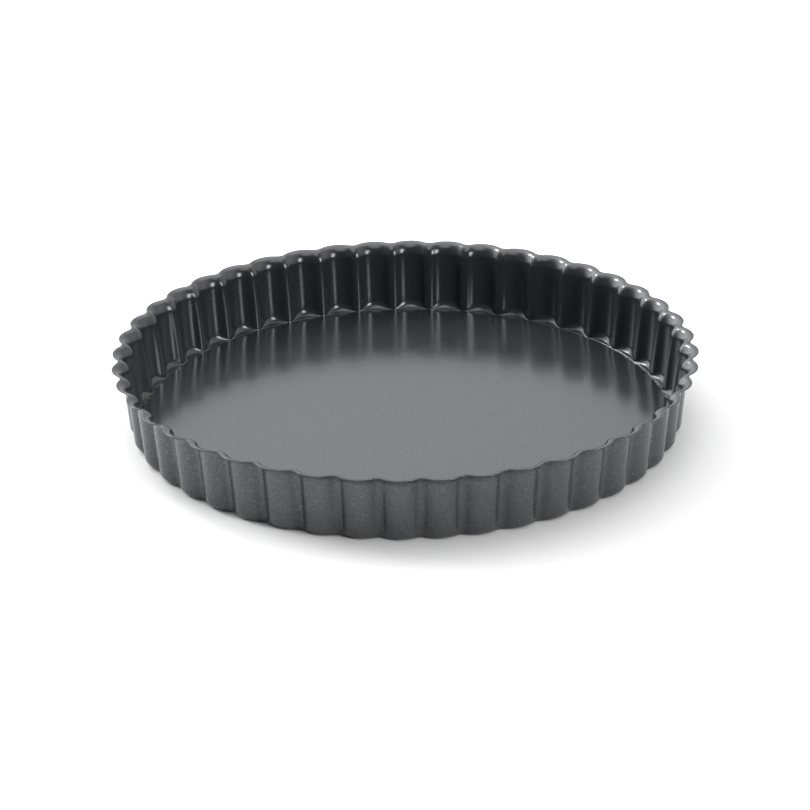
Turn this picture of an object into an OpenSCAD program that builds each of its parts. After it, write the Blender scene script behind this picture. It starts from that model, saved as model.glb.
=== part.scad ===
// Fluted tart tin with a loose base, in millimetres.
// The origin is the centre of the foot, on the surface that the tin stands on, with +Z up.

/* [Fluted wall] */
// Number of flutes round the wall
flute_count = 44; // [40:1:46]
// Radius of the circle through the inner ridges, at the surface that the tin stands on
ridge_line_r = 134.8; // [110:0.1:160]
// How far a flute's crest lies outside the ridges
flute_depth = 4; // [3:0.1:5]
// Rounding of the inner ridges between two flutes
ridge_round = 2.1; // [1.2:0.1:2.6]
// Height of the tin
pan_h = 36.2; // [28:0.1:50]
// Lean of the wall from upright, in degrees
wall_draft = 5.3; // [2:0.1:9]
// Thickness of the sheet
sheet_t = 0.6; // [0.4:0.05:0.9]

/* [Rim] */
// Bend of the flared rim, on the outer face
rim_bend_r = 5.9; // [3:0.1:8]
// Rise of the rim above level at its cut edge, in degrees
rim_rise = 3; // [0:1:30]

/* [Foot] */
// Bend from the wall to the ledge at the ridges, on the inner face
foot_bend_r = 1; // [0.6:0.1:2]
// Depth that is left of the flutes where they run out on the ledge
ledge_flute_depth = 1; // [0.5:0.1:2]
// Width of the ledge, from the ridges in to the opening under the base
ledge_w = 8.8; // [5:0.1:14]

/* [Loose base] */
// Thickness of the base
base_t = 1; // [0.6:0.05:1.5]
// Gap all round the base, at its seat
base_gap = 0.3; // [0.2:0.05:0.8]
// Bevel on the base's upper edge
base_bevel = 0.2; // [0.1:0.05:0.3]

/* [Hidden] */
$fn = 180;
ring_colour = [0.27, 0.28, 0.3];
base_colour = [0.36, 0.37, 0.39];

// Steps along each arc of the mesh
crest_steps = 3;
inner_rim_steps = 3;
outer_rim_steps = 2;

half_pitch = 180 / flute_count;

// The wall leans outward in a straight line
function ridge_r_at(z) = ridge_line_r + z * tan(wall_draft);

// Foot: the crests bend in a wider arc than the ridges do, so the flutes run out on the ledge
crest_bend_r = foot_bend_r + flute_depth - ledge_flute_depth;

// How far a bend lies inside the wall's line, at a height above the bend's foot
function bend_in(h, r) = h < r ? r - sqrt(h * (2 * r - h)) : 0;

// A station of the sheet's profile is [radius of the ridges, height, depth of the flutes, skin],
// where skin moves a whole outline outward from the inner face
function foot_station(h, skin) = [
    ridge_r_at(h + sheet_t - skin) - bend_in(h, foot_bend_r + skin),
    h + sheet_t - skin,
    flute_depth + bend_in(h, foot_bend_r + skin) - bend_in(h, crest_bend_r + skin),
    skin
];

// Rim: one arc from the wall's lean to the rise of the cut edge, with its centre outside the wall
rim_inner_r = rim_bend_r + sheet_t;
rim_turn = 90 - rim_rise;
rim_wall_z = pan_h - rim_inner_r * (sin(rim_turn) - sin(wall_draft));
function rim_station(turn, skin) = [
    ridge_r_at(rim_wall_z) + rim_inner_r * (cos(wall_draft) - cos(turn)),
    rim_wall_z + rim_inner_r * (sin(turn) - sin(wall_draft)) - skin * sin(turn),
    flute_depth,
    skin * cos(turn)
];
function rim_angle(i, steps) = wall_draft + (rim_turn - wall_draft) * i / steps;

// Heights of the stations at the foot, on the inner face and on the outer face
ridge_bend_share = 0.3;
inner_foot_heights = [0, ridge_bend_share * foot_bend_r, foot_bend_r, crest_bend_r];
outer_foot_heights = [
    0,
    ridge_bend_share * (foot_bend_r + sheet_t),
    foot_bend_r + sheet_t,
    crest_bend_r + sheet_t
];

// Up the inner face, over the rim's cut edge and down the outer face
profile = [
    for (h = inner_foot_heights) foot_station(h, 0),
    for (i = [0 : inner_rim_steps]) rim_station(rim_angle(i, inner_rim_steps), 0),
    for (i = [outer_rim_steps : -1 : 0]) rim_station(rim_angle(i, outer_rim_steps), sheet_t),
    for (i = [len(outer_foot_heights) - 1 : -1 : 0]) foot_station(outer_foot_heights[i], sheet_t)
];

// The opening that the ledge leaves
ledge_hole_r = ridge_line_r - ledge_w;

// The base stays clear of the foot's bend, where the ridges come nearest to it
base_r = ridge_r_at(sheet_t) - foot_bend_r - base_gap;

// Outline of one flute at a station: the crest arc, which touches the ridge arcs on both sides of it,
// then the bottom of the next ridge
function flute(station) =
    let (
        ridge_r = station[0],
        crest_line_r = ridge_r + station[2],
        skin = station[3],
        ridge_centre_r = ridge_r + ridge_round,
        ridge_y = ridge_centre_r * sin(half_pitch),
        ridge_x = ridge_centre_r * cos(half_pitch),
        crest_from_ridge = crest_line_r - ridge_x,
        crest_r = (crest_from_ridge ^ 2 + ridge_y ^ 2 - ridge_round ^ 2)
            / (2 * (crest_from_ridge + ridge_round)),
        crest_centre_r = crest_line_r - crest_r,
        arc_end = atan2(ridge_y, ridge_x - crest_centre_r),
        arc_r = crest_r + skin,
        bottom_r = ridge_r + skin
    ) [
        for (i = [-crest_steps : crest_steps])
            let (a = arc_end * i / crest_steps)
            [crest_centre_r + arc_r * cos(a), arc_r * sin(a)],
        [bottom_r * cos(half_pitch), bottom_r * sin(half_pitch)]
    ];

function turned(p, a, z) = [p.x * cos(a) - p.y * sin(a), p.x * sin(a) + p.y * cos(a), z];

// All flutes of one station, as one closed ring of points
function fluted_loop(station) = [
    for (k = [0 : flute_count - 1])
        for (p = flute(station))
            turned(p, 2 * half_pitch * k, station[1])
];

// The ledge's edge: the same number of points on a plain circle
function hole_loop(z) = [
    for (p = fluted_loop(profile[0]))
        let (a = atan2(p.y, p.x))
        [ledge_hole_r * cos(a), ledge_hole_r * sin(a), z]
];

// Skins closed loops of equal length into one solid, the last one joined to the first
module loop_solid(loops) {
    count = len(loops);
    size = len(loops[0]);
    points = [for (loop = loops) each loop];
    faces = [
        for (i = [0 : count - 1])
            for (j = [0 : size - 1])
                let (
                    a = i * size + j,
                    b = i * size + (j + 1) % size,
                    c = ((i + 1) % count) * size + (j + 1) % size,
                    d = ((i + 1) % count) * size + j
                )
                each [[a, b, c], [a, c, d]]
    ];
    polyhedron(points = points, faces = faces);
}

module fluted_ring() {
    color(ring_colour)
        loop_solid([
            hole_loop(sheet_t),
            for (station = profile) fluted_loop(station),
            hole_loop(0)
        ]);
}

module loose_base() {
    color(base_colour)
        translate([0, 0, sheet_t]) {
            cylinder(h = base_t - base_bevel, r = base_r);
            translate([0, 0, base_t - base_bevel])
                cylinder(h = base_bevel, r1 = base_r, r2 = base_r - base_bevel);
        }
}

fluted_ring();
loose_base();
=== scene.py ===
# %% [markdown]
# # A fluted tart tin with a loose base
# The tin is two pieces of steel sheet with a dark non-stick coating. The ring is drawn into 44 flutes,
# flares out at the rim and turns in at the foot to a narrow ledge. A flat disc lies on that ledge and lifts
# out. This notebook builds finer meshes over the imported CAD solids, coats them, and sets a small product
# studio round them. All lengths are in metres, in the frame of the CAD part.

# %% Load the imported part
import math

import bpy
import numpy as np
from mathutils import Matrix, Vector


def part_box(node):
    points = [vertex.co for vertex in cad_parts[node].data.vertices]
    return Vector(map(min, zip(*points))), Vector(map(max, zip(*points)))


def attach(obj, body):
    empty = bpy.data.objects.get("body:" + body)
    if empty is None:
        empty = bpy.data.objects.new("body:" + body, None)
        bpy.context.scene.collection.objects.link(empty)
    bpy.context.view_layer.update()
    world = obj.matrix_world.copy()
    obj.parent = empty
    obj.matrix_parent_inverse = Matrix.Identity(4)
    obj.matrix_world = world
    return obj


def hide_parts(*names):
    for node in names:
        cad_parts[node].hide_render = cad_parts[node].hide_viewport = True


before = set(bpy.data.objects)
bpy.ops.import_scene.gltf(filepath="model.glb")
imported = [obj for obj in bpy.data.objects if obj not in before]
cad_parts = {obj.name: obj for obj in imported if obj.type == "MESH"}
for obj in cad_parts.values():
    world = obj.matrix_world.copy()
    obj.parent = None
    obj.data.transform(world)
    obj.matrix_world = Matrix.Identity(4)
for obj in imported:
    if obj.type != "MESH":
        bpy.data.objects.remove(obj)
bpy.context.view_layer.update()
ring_low, ring_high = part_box("fluted_ring")
base_low, base_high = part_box("loose_base")
print("ring", [round(v, 4) for v in ring_high - ring_low])
print("base", [round(v, 4) for v in base_high - base_low])


# %% Put a new object into the scene
def placed(name, data):
    """A new object of the scene, for a camera, a mesh or a lamp."""
    made = bpy.data.objects.new(name, data)
    bpy.context.scene.collection.objects.link(made)
    return made


# %% [markdown]
# ## The camera
# A tart tin is shown from above the rim, with a long lens, so that its circles are nearly true ellipses.
# The lens, the distance and the height come from fitting circles to the photograph's rim and foot. The
# picture leans a little, so the camera rolls by the same small angle. It aims at a point near the tin's
# axis.

# %% Place the camera
PAN_H = ring_high.z
CAMERA_DISTANCE = 1.719
CAMERA_ELEVATION = math.radians(24.14)
CAMERA_SIDE = math.radians(1.44)
CAMERA_ROLL = math.radians(0.86)
CAMERA_SIGHT = 20
LENS_MM = 151.6
SENSOR_MM = 36.0
AIM_LEFT = 0.00045
AIM_HEIGHT = 0.00647


def camera_matrix(place, target, roll):
    """The camera looks from place to target, turned clockwise by roll."""
    ahead = (target - place).normalized()
    right = ahead.cross(Vector((0, 0, 1))).normalized()
    up = right.cross(ahead)
    rolled_right = right * math.cos(roll) - up * math.sin(roll)
    rolled_up = right * math.sin(roll) + up * math.cos(roll)
    turn = Matrix((rolled_right, rolled_up, -ahead)).transposed().to_4x4()
    return Matrix.Translation(place) @ turn


heading = Vector((math.sin(CAMERA_SIDE), -math.cos(CAMERA_SIDE), 0))
camera_arm = heading * math.cos(CAMERA_ELEVATION) + Vector((0, 0, math.sin(CAMERA_ELEVATION)))
camera_place = Vector((0, 0, PAN_H)) + camera_arm * CAMERA_DISTANCE
aim = Vector((-AIM_LEFT, 0, AIM_HEIGHT))
camera_data = bpy.data.cameras.new("camera")
camera_data.lens = LENS_MM
camera_data.sensor_width = SENSOR_MM
camera_data.clip_end = CAMERA_SIGHT
camera = placed("camera", camera_data)
camera.matrix_world = camera_matrix(camera_place, aim, CAMERA_ROLL)
bpy.context.scene.camera = camera
print("camera at", [round(v, 3) for v in camera_place])

# %% [markdown]
# ## One flute
# Seen from above, a flute is an arc that bulges outward, and two flutes meet in a small rounded ridge. A
# designer draws one flute and repeats it. Circles that touch keep the outline smooth: the crest arc touches
# the ridge arc on each side, and one formula gives its radius from the ridges' circle and the flute's
# depth. The same rule gives every level of the tin: only the ridges' circle, the flute's depth and the
# rounding of the ridges change from the ledge to the rim.

# %% Sizes of the flutes and of the sheet
FLUTES = 44
RIDGE_LINE_R = 0.1348
FLUTE_DEPTH = 0.004
RIDGE_ROUND = 0.0042
SHEET_T = 0.0006
WALL_DRAFT = math.radians(5.3)
HALF_PITCH = math.pi / FLUTES
CREST_STEPS = 10
RIDGE_STEPS = 6
print("one flute is", round(2 * HALF_PITCH * RIDGE_LINE_R, 4), "wide at the ridges")


# %% Outline of one flute
def flute_outline(ridge_r, depth, skin, rounding):
    """Points of one flute: the crest arc, then the ridge arc, both moved outward by the skin."""
    ridge_centre_r = ridge_r + rounding
    ridge_centre = ridge_centre_r * np.array((math.cos(HALF_PITCH), math.sin(HALF_PITCH)))
    dx = ridge_r + depth - ridge_centre[0]
    crest_r = (dx**2 + ridge_centre[1] ** 2 - rounding**2) / (2 * (dx + rounding))
    crest_centre_r = ridge_r + depth - crest_r
    arc_end = math.atan2(ridge_centre[1], ridge_centre[0] - crest_centre_r)
    crest = np.linspace(-arc_end, arc_end, 2 * CREST_STEPS + 1)
    ridge_share = np.linspace(0, 2, 2 * RIDGE_STEPS + 1)[1:-1]
    ridge = math.pi + arc_end + ridge_share * (HALF_PITCH - arc_end)
    crest_points = np.stack((np.cos(crest), np.sin(crest)), -1) * (crest_r + skin)
    ridge_points = np.stack((np.cos(ridge), np.sin(ridge)), -1) * (rounding - skin)
    return np.concatenate((crest_points + (crest_centre_r, 0), ridge_points + ridge_centre))


def fluted_loop(station):
    """All flutes of one station, as one closed loop of points in space."""
    ridge_r, height, depth, skin, rounding = station
    one = flute_outline(ridge_r, depth, skin, rounding)
    turns = 2 * HALF_PITCH * np.arange(FLUTES)[:, None]
    x = one[:, 0] * np.cos(turns) - one[:, 1] * np.sin(turns)
    y = one[:, 0] * np.sin(turns) + one[:, 1] * np.cos(turns)
    return np.stack((x, y, np.full_like(x, height)), -1).reshape(-1, 3)


print("points round the ring", len(fluted_loop((RIDGE_LINE_R, 0, FLUTE_DEPTH, 0, RIDGE_ROUND))))

# %% [markdown]
# ## The sheet's profile
# Cut through a crest, the sheet is a hook: a ledge, a bend, the leaning wall, and the flare of the rim, one
# arc that ends almost level. Both faces of a bend turn round one centre, so the sheet keeps its thickness.
# At the foot the crests bend in a wider arc than the ridges do, so the flutes run out on the ledge, and on
# the inner face their bottoms start a little above it. Towards the rim the sheet is less tightly drawn: the
# ridges lean out a little more than the crests and grow rounder, which keeps the scallops of the rim
# shallow. The cut edge is rounded over, as a coated edge is, and catches a thin line of light.

# %% Sizes of the foot and the rim
FOOT_BEND_R = 0.001
LEDGE_FLUTE_DEPTH = 0.001
LEDGE_W = 0.0088
RIM_BEND_R = 0.0059
RIM_RISE = math.radians(3)
RIM_FLUTE_DEPTH = 0.0031
RIM_RIDGE_ROUND = 0.005
RIDGE_LEAN_FROM = 0.008
FOOT_STEP_UP = 0.0005
FOOT_STEPS = 7
WALL_STEPS = 8
RIM_STEPS = 16
EDGE_STEPS = 6


def ridge_r_at(height):
    """The wall leans outward in a straight line."""
    return RIDGE_LINE_R + height * math.tan(WALL_DRAFT)


CREST_BEND_R = FOOT_BEND_R + FLUTE_DEPTH - LEDGE_FLUTE_DEPTH
RIM_TURN = math.pi / 2 - RIM_RISE
RIM_INNER_R = RIM_BEND_R + SHEET_T
RIM_WALL_Z = PAN_H - RIM_INNER_R * (math.sin(RIM_TURN) - math.sin(WALL_DRAFT))
print("crest bend", round(CREST_BEND_R, 5), "wall up to", round(RIM_WALL_Z, 5))

# %% [markdown]
# ## Stations of the profile
# A station is one level of one face: the radius of the ridges, the height, the depth of the flutes, the
# skin and the rounding of the ridges. A list of stations is easier to change than a drawn curve, because
# each number has a meaning on the real sheet. Stations lie close together where a bend turns fastest.


# %% Stations of the foot
def bend_in(height, radius):
    """How far a bend lies inside the wall's line, at a height above the bend's foot."""
    return radius - math.sqrt(height * (2 * radius - height)) if height < radius else 0.0


def foot_station(height, skin, step_up):
    """A station of the foot. The skin is 0 on the inner face and the sheet's thickness on the outer."""
    at_ridge = bend_in(height, FOOT_BEND_R + skin)
    at_crest = bend_in(max(0.0, height - step_up), CREST_BEND_R + skin)
    z = height + SHEET_T - skin
    return ridge_r_at(z) - at_ridge, z, FLUTE_DEPTH + at_ridge - at_crest, skin, RIDGE_ROUND


HEIGHT_DIGITS = 7


def foot_heights(skin, step_up):
    """Heights close together where either bend turns fastest."""
    drops = 1 - np.cos(np.linspace(0, math.pi / 2, FOOT_STEPS + 1))
    heights = [*(FOOT_BEND_R + skin) * drops, *(step_up + (CREST_BEND_R + skin) * drops)]
    return sorted(set(round(float(h), HEIGHT_DIGITS) for h in heights))


inner_foot = [foot_station(h, 0, FOOT_STEP_UP) for h in foot_heights(0, FOOT_STEP_UP)]
outer_foot = [foot_station(h, SHEET_T, 0) for h in foot_heights(SHEET_T, 0)[::-1]]
print("foot stations", len(inner_foot), "inside", len(outer_foot), "outside")


# %% Stations of the wall and of the rim
def faded(ridge_r, crest_depth, height, z, skin):
    """A station with its ridges moved out and rounded, the more so the nearer it is to the rim."""
    share = max(0.0, (height - RIDGE_LEAN_FROM) / (PAN_H - RIDGE_LEAN_FROM)) ** 2
    lost = (FLUTE_DEPTH - RIM_FLUTE_DEPTH) * share
    rounding = RIDGE_ROUND + (RIM_RIDGE_ROUND - RIDGE_ROUND) * share
    return ridge_r + lost, z, crest_depth - lost, skin, rounding


def rim_station(turn, skin, along=0.0):
    """A station of the flare: how far the sheet has turned, the skin, and a way straight on from there."""
    out = RIM_INNER_R * (math.cos(WALL_DRAFT) - math.cos(turn)) + along * math.sin(turn)
    up = RIM_INNER_R * (math.sin(turn) - math.sin(WALL_DRAFT)) + along * math.cos(turn)
    height = RIM_WALL_Z + up
    z = height - skin * math.sin(turn)
    return faded(ridge_r_at(RIM_WALL_Z) + out, FLUTE_DEPTH, height, z, skin * math.cos(turn))


def wall_stations(low, high, skin):
    """Stations on the leaning wall between two heights, without its ends."""
    heights = np.linspace(low, high, WALL_STEPS + 1)[1:-1]
    return [faded(ridge_r_at(z), FLUTE_DEPTH, z, z, skin) for z in heights]


EDGE_R = SHEET_T / 2
FLARE_END = RIM_TURN - EDGE_R / RIM_INNER_R
rim_turns = np.linspace(WALL_DRAFT, FLARE_END, RIM_STEPS + 1)
edge_turns = np.linspace(0, math.pi, EDGE_STEPS + 1)[1:-1]
inner_rim = [rim_station(a, 0) for a in rim_turns]
inner_wall = wall_stations(inner_foot[-1][1], inner_rim[0][1], 0)
cut_edge = [rim_station(FLARE_END, EDGE_R * (1 - math.cos(a)), EDGE_R * math.sin(a)) for a in edge_turns]
outer_rim = [rim_station(a, SHEET_T) for a in rim_turns[::-1]]
outer_wall = wall_stations(outer_foot[0][1], outer_rim[-1][1], SHEET_T)[::-1]
inner_face = inner_foot + inner_wall + inner_rim
outer_face = outer_rim + outer_wall + outer_foot
profile = inner_face + cut_edge + outer_face
print("stations", len(profile))

# %% [markdown]
# ## The fluted ring
# The real ring is drawn from one round blank between two fluted dies. Here the loops of all stations are
# skinned one to the next, and the last joins the first, which gives a closed sheet with two faces. A loft
# like this follows the dies' shape directly and needs no subdivision, because its points already lie on
# arcs. The inner face and the outer face carry different coatings, so each quad also gets a material
# number.


# %% A smooth mesh piece
def smooth_piece(name, points, faces):
    """A smoothly shaded mesh over points and faces, placed in the scene."""
    mesh = bpy.data.meshes.new(name)
    mesh.from_pydata(points.tolist(), [], faces)
    mesh.polygons.foreach_set("use_smooth", np.ones(len(faces), bool))
    mesh.update()
    return placed(name, mesh)


def closed_steps(count):
    """Numbers of a closed row of points, and the number that follows each."""
    here = np.arange(count)
    return here, (here + 1) % count


print("the last point of a closed row is followed by number", closed_steps(RIDGE_STEPS)[1][-1])


# %% Skin the loops into the ring
def ledge_loop(height, outer_loop):
    """The edge of the opening in the ledge, a plain circle with the same number of points."""
    angles = np.arctan2(outer_loop[:, 1], outer_loop[:, 0])
    radius = RIDGE_LINE_R - LEDGE_W
    return np.stack((radius * np.cos(angles), radius * np.sin(angles), np.full_like(angles, height)), -1)


def skinned(name, loops, materials_of_gaps):
    """One closed mesh over loops of equal length, the last one joined to the first."""
    size = len(loops[0])
    row, next_row = (steps[:, None] * size for steps in closed_steps(len(loops)))
    here, there = closed_steps(size)
    quads = np.stack((row + there, row + here, next_row + here, next_row + there), -1).reshape(-1, 4)
    piece = smooth_piece(name, np.concatenate(loops), quads.tolist())
    piece.data.polygons.foreach_set("material_index", np.repeat(materials_of_gaps, size))
    piece.data.update()
    return piece


fluted = [fluted_loop(station) for station in profile]
ring_loops = [ledge_loop(SHEET_T, fluted[0])] + fluted + [ledge_loop(0, fluted[-1])]
INSIDE, OUTSIDE = 0, 1
inside_gaps = 1 + len(inner_face) + EDGE_STEPS // 2
gap_materials = np.full(len(ring_loops), OUTSIDE)
gap_materials[:inside_gaps] = INSIDE
ring = skinned("ring_drawn", ring_loops, gap_materials)
print("ring quads", len(ring.data.polygons))

# %% [markdown]
# ## The loose base
# The base is a blanked disc, about a millimetre thick. Its upper edge is rolled over a little by the press,
# so it shows as a fine line just inside the flutes. Rings of points close to each other at the edge make
# that roll, and wide rings make the flat face.

# %% Section of the disc
BASE_SEGMENTS = 352
BASE_EDGE_R = 0.00022
BASE_EDGE_STEPS = 4
UNDER_EDGE = BASE_EDGE_R / 2
FACE_RINGS = 14
base_r = (base_high.x - base_low.x) / 2


def disc_section():
    """Half of the disc's section, from the middle of the upper face round to the middle of the lower."""
    top_z, low_z = base_high.z, base_low.z
    inner_r = base_r - BASE_EDGE_R
    face = inner_r * np.linspace(0, 1, FACE_RINGS + 1)[1:-1]
    upper = [(r, top_z) for r in face]
    roll_turns = np.linspace(0, math.pi / 2, BASE_EDGE_STEPS + 1)
    roll = [
        (inner_r + BASE_EDGE_R * math.sin(a), top_z - BASE_EDGE_R * (1 - math.cos(a)))
        for a in roll_turns
    ]
    under = [(base_r, low_z + UNDER_EDGE), (base_r - UNDER_EDGE, low_z)]
    lower = [(r, low_z) for r in face[::-1]]
    return upper + roll + under + lower


print("points of the disc's section", len(disc_section()))


# %% Spin the disc
def spun_disc(name, section):
    """Spins a section round the tin's axis and closes both faces with a fan of triangles."""
    angles = np.linspace(0, 2 * math.pi, BASE_SEGMENTS, endpoint=False)
    loops = [
        np.stack((r * np.cos(angles), r * np.sin(angles), np.full(BASE_SEGMENTS, z)), -1)
        for r, z in section
    ]
    middles = np.array([[0, 0, section[0][1]], [0, 0, section[-1][1]]])
    points = np.concatenate(loops + [middles])
    here, there = closed_steps(BASE_SEGMENTS)
    faces = []
    for k in range(len(section) - 1):
        a, b = k * BASE_SEGMENTS, (k + 1) * BASE_SEGMENTS
        faces += np.stack((a + here, b + here, b + there, a + there), -1).tolist()
    top, bottom = len(points) - 2, len(points) - 1
    last = (len(section) - 1) * BASE_SEGMENTS
    faces += [(top, int(i), int(j)) for i, j in zip(here, there)]
    faces += [(bottom, int(last + j), int(last + i)) for i, j in zip(here, there)]
    return smooth_piece(name, points, faces)


base = spun_disc("base_disc", disc_section())
print("base faces", len(base.data.polygons), "radius", round(base_r, 5))

# %% [markdown]
# ## Short words for shader nodes
# A material in Blender is a small network: boxes called nodes, joined by links. Written out, each node
# takes several lines. These helpers say a node in one line: which kind it is, and for each of its inputs
# either a plain value or the output of another node.


# %% Join values and nodes
def feed(tree, socket, value):
    """Joins another node's output to an input, or writes a plain value into it."""
    if isinstance(value, bpy.types.NodeSocket):
        tree.links.new(value, socket)
    else:
        socket.default_value = value


def add(tree, kind, inputs=None, **settings):
    """A new node with its settings and its inputs, which are named or numbered."""
    made = tree.nodes.new(kind)
    for name, value in settings.items():
        setattr(made, name, value)
    for name, value in (inputs or {}).items():
        feed(tree, made.inputs[name], value)
    return made


print("helpers", feed.__name__, add.__name__)


# %% Sums, spans, mixes and noise
def calculated(tree, operation, first, second):
    """The result of a sum, a product or a like step on two numbers."""
    return add(tree, "ShaderNodeMath", {0: first, 1: second}, operation=operation).outputs["Value"]


def mapped(tree, value, span, result, smooth=False):
    """Stretches a span of values to a span of results, straight or with soft ends."""
    limits = {"From Min": span[0], "From Max": span[1], "To Min": result[0], "To Max": result[1]}
    slope = "SMOOTHSTEP" if smooth else "LINEAR"
    node = add(tree, "ShaderNodeMapRange", {"Value": value, **limits}, interpolation_type=slope)
    return node.outputs["Result"]


def mixed(tree, factor, first, second, kind="RGBA"):
    """A mix of two colours, or of two numbers where the kind is FLOAT."""
    inputs = {"Factor": factor, "A": first, "B": second}
    return add(tree, "ShaderNodeMix", inputs, data_type=kind).outputs["Result"]


def cloudy(tree, place, size, detail):
    """Noise with spots of a real size."""
    inputs = {"Scale": 1 / size, "Detail": detail, "Vector": place}
    return add(tree, "ShaderNodeTexNoise", inputs).outputs["Fac"]


def new_material(name):
    """A material with its node tree and its main shader."""
    material = bpy.data.materials.new(name)
    material.use_nodes = True
    return material, material.node_tree, material.node_tree.nodes["Principled BSDF"]


print("helpers", [helper.__name__ for helper in (calculated, mapped, mixed, cloudy, new_material)])

# %% [markdown]
# ## The coating
# Non-stick coating is a dark binder with fine metal flakes under a smooth top. Three things show at this
# distance: a nearly black body, a soft mirror that grows towards grazing angles, and a faint sparkle. The
# body and the flakes are one Principled shader whose colour and metal share vary by small cells, and a fine
# bump gives the slight orange peel that softens reflections. The inside is smooth and dark, the outside is
# duller and greyer, and the base has the strongest mirror, so each face gets its own gloss and its own
# index of refraction. Sizes in the texture are real sizes, because the object's own coordinates place it.

# %% A coating made of nodes
COAT_SHEEN = (0.93, 0.955, 1.0)
FLAKE_SIZE = 0.0003
CLOUD_SIZE = 0.012
CLOUD_DETAIL = 3
CLOUD_LIFT = 1.25
GLOSS_SPREAD = 0.15
PEEL_SIZE = 0.0009
PEEL_DETAIL = 2
WAVE_SIZE = 0.02
WAVE_DETAIL = 1


def coating(name, body, flake, flake_share, roughness, peel, wave, ior):
    """A dark flaked coating: body and flake colours, share of flakes, gloss, fine and broad unevenness."""
    material, tree, shader = new_material(name)
    place = add(tree, "ShaderNodeTexCoord").outputs["Object"]
    cells = add(tree, "ShaderNodeTexVoronoi", {"Scale": 1 / FLAKE_SIZE, "Vector": place})
    split = add(tree, "ShaderNodeSeparateColor", {"Color": cells.outputs["Color"]})
    flakes = mapped(tree, split.outputs["Red"], (1 - flake_share, 1), (0, 1))

    cloud = cloudy(tree, place, CLOUD_SIZE, CLOUD_DETAIL)
    lifted = [c * CLOUD_LIFT for c in body]
    tone = mixed(tree, cloud, (*body, 1), (*lifted, 1))
    colour = mixed(tree, flakes, tone, (*flake, 1))
    dullness = (roughness * (1 - GLOSS_SPREAD), roughness * (1 + GLOSS_SPREAD))
    gloss = mapped(tree, cloud, (0, 1), dullness)

    broad = cloudy(tree, place, WAVE_SIZE, WAVE_DETAIL)
    broad_bump = add(tree, "ShaderNodeBump", {"Distance": wave, "Height": broad})
    fine = cloudy(tree, place, PEEL_SIZE, PEEL_DETAIL)
    fine_inputs = {"Distance": peel, "Height": fine, "Normal": broad_bump.outputs["Normal"]}
    fine_bump = add(tree, "ShaderNodeBump", fine_inputs)

    feed(tree, shader.inputs["Base Color"], colour)
    feed(tree, shader.inputs["Metallic"], flakes)
    feed(tree, shader.inputs["Roughness"], gloss)
    feed(tree, shader.inputs["Normal"], fine_bump.outputs["Normal"])
    feed(tree, shader.inputs["IOR"], ior)
    feed(tree, shader.inputs["Specular Tint"], (*COAT_SHEEN, 1))
    return material


print("flakes of", FLAKE_SIZE, "m, peel of", PEEL_SIZE, "m, waves of", WAVE_SIZE, "m")

# %% Coat the three faces
inside_coat = coating(
    "inside_coat",
    body=(0.020, 0.021, 0.0235),
    flake=(0.10, 0.104, 0.115),
    flake_share=0.08,
    roughness=0.19,
    peel=2e-6,
    wave=6e-5,
    ior=1.65,
)
outside_coat = coating(
    "outside_coat",
    body=(0.046, 0.0475, 0.052),
    flake=(0.2, 0.205, 0.22),
    flake_share=0.13,
    roughness=0.27,
    peel=8e-7,
    wave=1e-4,
    ior=1.64,
)
base_coat = coating(
    "base_coat",
    body=(0.018, 0.019, 0.0222),
    flake=(0.22, 0.227, 0.246),
    flake_share=0.14,
    roughness=0.18,
    peel=2e-6,
    wave=5e-5,
    ior=2.03,
)
ring.data.materials.append(inside_coat)
ring.data.materials.append(outside_coat)
base.data.materials.append(base_coat)
print("coatings", [m.name for m in bpy.data.materials])

# %% [markdown]
# ## The pieces ride on their bodies
# The ring is the body that stands, and the base slides up out of it. Each fine mesh rides on its body and
# stands in for its CAD node, which is hidden.

# %% Tie the pieces to the CAD part
for piece, body, node, slot in (
    (ring, "ring", "fluted_ring", "ring_coating"),
    (base, "base", "loose_base", "base_coating"),
):
    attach(piece, body)
    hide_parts(node)
    print(piece.name, "rides on", body)

# %% [markdown]
# ## The floor
# The tin stands on a white sweep, and a matt plane takes the soft shadow. To the camera and to the mirror
# of the coating the floor has the colour of white paper. A real sweep is small and the room beyond it is
# dark, so it throws less light up at the tin than an endless white plane would. Light Path tells the two
# uses apart.

# %% Lay the floor
FLOOR_HALF = 3.0
FLOOR_BOUNCE = 0.5
FLOOR_WHITE = 0.87
FLOOR_ROUGHNESS = 0.9
FLOOR_SPECULAR = 0.1


def grey(value):
    """A grey colour for a node."""
    return (value, value, value, 1)


def floor_material():
    """White to the camera and to mirrors, darker to all other rays."""
    material, tree, shader = new_material("white_floor")
    rays = add(tree, "ShaderNodeLightPath").outputs
    seen = calculated(tree, "MAXIMUM", rays["Is Camera Ray"], rays["Is Glossy Ray"])
    feed(tree, shader.inputs["Base Color"], mixed(tree, seen, grey(FLOOR_BOUNCE), grey(FLOOR_WHITE)))
    feed(tree, shader.inputs["Roughness"], FLOOR_ROUGHNESS)
    feed(tree, shader.inputs["Specular IOR Level"], FLOOR_SPECULAR)
    return material


floor_mesh = bpy.data.meshes.new("floor")
floor_corners = [(x * FLOOR_HALF, y * FLOOR_HALF, 0) for x, y in ((-1, -1), (1, -1), (1, 1), (-1, 1))]
floor_mesh.from_pydata(floor_corners, [], [(0, 1, 2, 3)])
floor = placed("floor", floor_mesh)
floor.data.materials.append(floor_material())
print("floor", 2 * FLOOR_HALF, "m wide")

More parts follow.
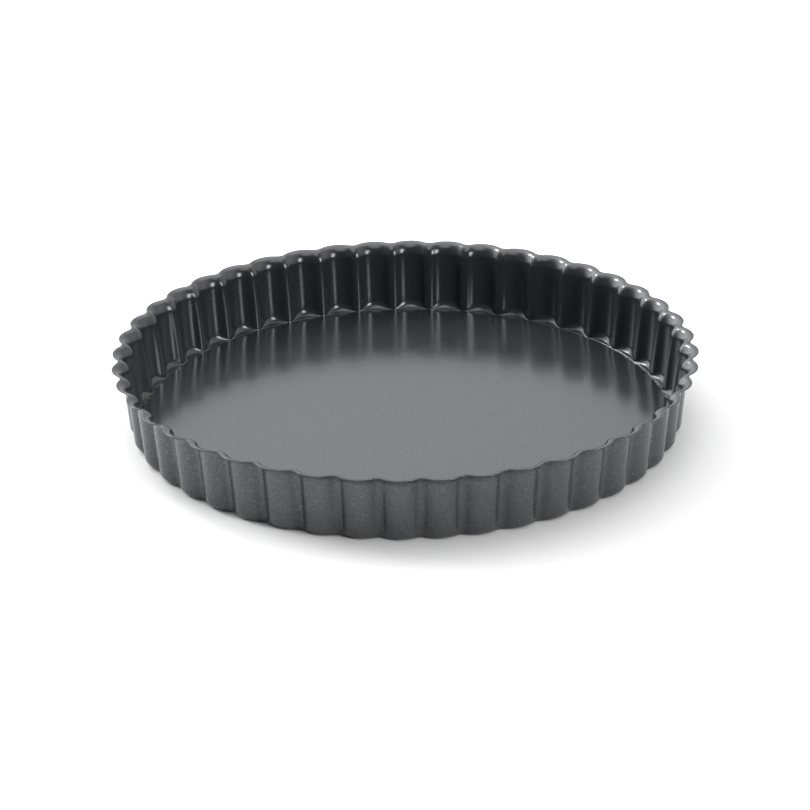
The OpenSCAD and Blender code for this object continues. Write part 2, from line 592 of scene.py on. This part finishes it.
# %% [markdown]
# ## The light
# A product studio is bright behind and above the tin and dark on the camera's side. The dark side is why
# the inner wall at the back looks black: it mirrors the base, and the base mirrors the dark room. The world
# gives that slow change from back to front, a weaker one from left to right, and four round soft glows:
# high at the back for the flange of the rim, overhead for the bottoms of the flutes, and one to each side.
# A direction is written as an azimuth and an elevation in degrees, and each glow as those two, the angle to
# which it is full, the angle at which it is gone, and its strength.

# %% Strengths and directions of the room's light
ROOM_BACK = 1.07
ROOM_FRONT = 0.13
ROOM_LEFT = 1.4
ROOM_RIGHT = 0.55
FRONT_TO_BACK = (-0.35, 0.45)
LEFT_TO_RIGHT = (-0.9, 0.9)
OVERHEAD_GLOW = (0, 64, 15, 32, 1.5)
ZENITH_GLOW = (180, 78, 7, 23, 1.9)
BACK_LEFT_GLOW = (-52, 28, 12, 38, 1.6)
RIGHT_GLOW = (92, 30, 5, 42, 0.7)
ROOM_GLOWS = (OVERHEAD_GLOW, ZENITH_GLOW, BACK_LEFT_GLOW, RIGHT_GLOW)


def heading_to(azimuth, elevation):
    """A direction from the tin. Azimuth is turned from the back towards the right, seen from above."""
    turn, tilt = math.radians(azimuth), math.radians(elevation)
    return Vector((math.sin(turn) * math.cos(tilt), math.cos(turn) * math.cos(tilt), math.sin(tilt)))


print("glows", len(ROOM_GLOWS))


# %% Light the room
def soft_glow(tree, way, azimuth, elevation, full, faded_out, strength):
    """A round patch of light in the room: full inside one angle from its middle, gone at a wider one."""
    middle = heading_to(azimuth, elevation)
    toward = add(tree, "ShaderNodeVectorMath", {0: way, 1: middle}, operation="DOT_PRODUCT")
    edges = (math.cos(math.radians(faded_out)), math.cos(math.radians(full)))
    return mapped(tree, toward.outputs["Value"], edges, (0, strength), smooth=True)


def room_light():
    """The world: two gradients and the glows, and plain white to the camera."""
    world = bpy.data.worlds.new("studio")
    bpy.context.scene.world = world
    world.use_nodes = True
    tree = world.node_tree
    tree.nodes.clear()
    way = add(tree, "ShaderNodeTexCoord").outputs["Generated"]
    sides = add(tree, "ShaderNodeSeparateXYZ", {"Vector": way}).outputs
    depth = mapped(tree, sides["Y"], FRONT_TO_BACK, (ROOM_FRONT, ROOM_BACK), smooth=True)
    across = mapped(tree, sides["X"], LEFT_TO_RIGHT, (ROOM_LEFT, ROOM_RIGHT))
    total = calculated(tree, "MULTIPLY", depth, across)
    for glow in ROOM_GLOWS:
        total = calculated(tree, "ADD", total, soft_glow(tree, way, *glow))
    seen = add(tree, "ShaderNodeLightPath").outputs["Is Camera Ray"]
    strength = mixed(tree, seen, total, 1, kind="FLOAT")
    backdrop = add(tree, "ShaderNodeBackground", {"Color": grey(1), "Strength": strength})
    add(tree, "ShaderNodeOutputWorld", {"Surface": backdrop.outputs["Background"]})


room_light()
print("room", ROOM_FRONT, "to", ROOM_BACK)

# %% [markdown]
# ## The softboxes
# Two softboxes show in the coating. A small one at the back left and a tall one at the front right draw a
# spot on each bend and a narrow bright strip down each flute. The key is the third one. It lights the outer
# flutes from the left and throws the tin's soft shadow to the right. It is kept out of the mirror of the
# coating, as a photographer flags a key, because its reflection would hide the narrow strips. Each softbox
# is written as its azimuth and elevation in degrees, its width and height in metres, and the brightness of
# its face.

# %% Place the softboxes
LAMP_DISTANCE = 2.2
BACK_LEFT_BOX = (-42, 43, 0.38, 0.38, 26.0)
FRONT_RIGHT_BOX = (131, 28, 0.6, 1.2, 9.6)
LEFT_KEY_BOX = (-66, 30, 0.8, 0.7, 14.0)


def softbox(name, azimuth, elevation, width, height, radiance):
    """A rectangular lamp that faces the tin."""
    way = heading_to(azimuth, elevation)
    lamp = bpy.data.lights.new(name, "AREA")
    lamp.shape = "RECTANGLE"
    lamp.size = width
    lamp.size_y = height
    lamp.energy = radiance * math.pi * width * height
    box = placed(name, lamp)
    box.location = way * LAMP_DISTANCE
    box.rotation_euler = way.to_track_quat("Z", "Y").to_euler()
    return box


softbox("back_left", *BACK_LEFT_BOX)
softbox("front_right", *FRONT_RIGHT_BOX)
key = softbox("left_key", *LEFT_KEY_BOX)
key.visible_glossy = False

# %% [markdown]
# ## The view transform
# The view transform stays plain, so colours render as they are written.

# %% Finish
bpy.context.scene.view_settings.view_transform = "Standard"
